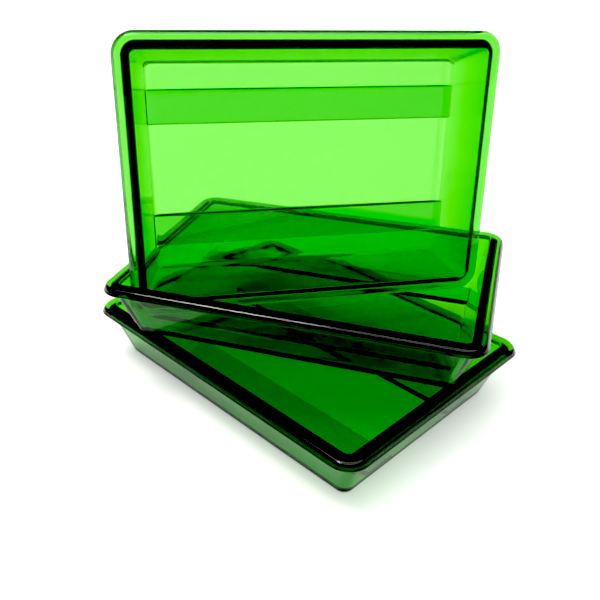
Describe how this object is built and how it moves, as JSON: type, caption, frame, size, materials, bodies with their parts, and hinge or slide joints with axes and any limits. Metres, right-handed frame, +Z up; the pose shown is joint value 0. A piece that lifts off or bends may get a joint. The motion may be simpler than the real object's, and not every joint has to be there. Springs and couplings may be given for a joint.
{
  "type": "set of pressed glass trays",
  "caption": "Clear green pressed-glass trays, rectangular with flared walls, thick rolled rims and raised floor ribs, stacked crosswise, the uppermost standing on edge.",
  "frame": {"origin": "centre of the bottom tray's base, on the surface that it stands on", "axes": "+Z up; +X along the bottom tray's long side; +Y along its short side, towards the back"},
  "size_m": [0.2216, 0.1994, 0.1757],
  "materials": {
    "green_glass": "fire-polished pressed glass, transparent emerald green"
  },
  "bodies": {
    "bottom": {"bottom_tray": "green_glass"},
    "middle": {"middle_tray": "green_glass"},
    "upright": {"upright_tray": "green_glass"}
  },
  "joints": [
    {"name": "middle_lift", "type": "slide", "parent": "bottom", "child": "middle", "axis": [0, 0, 1], "range_m": [0, 0.08]},
    {"name": "upright_lift", "type": "slide", "parent": "middle", "child": "upright", "axis": [0, 0, 1], "range_m": [0, 0.08]}
  ]
}
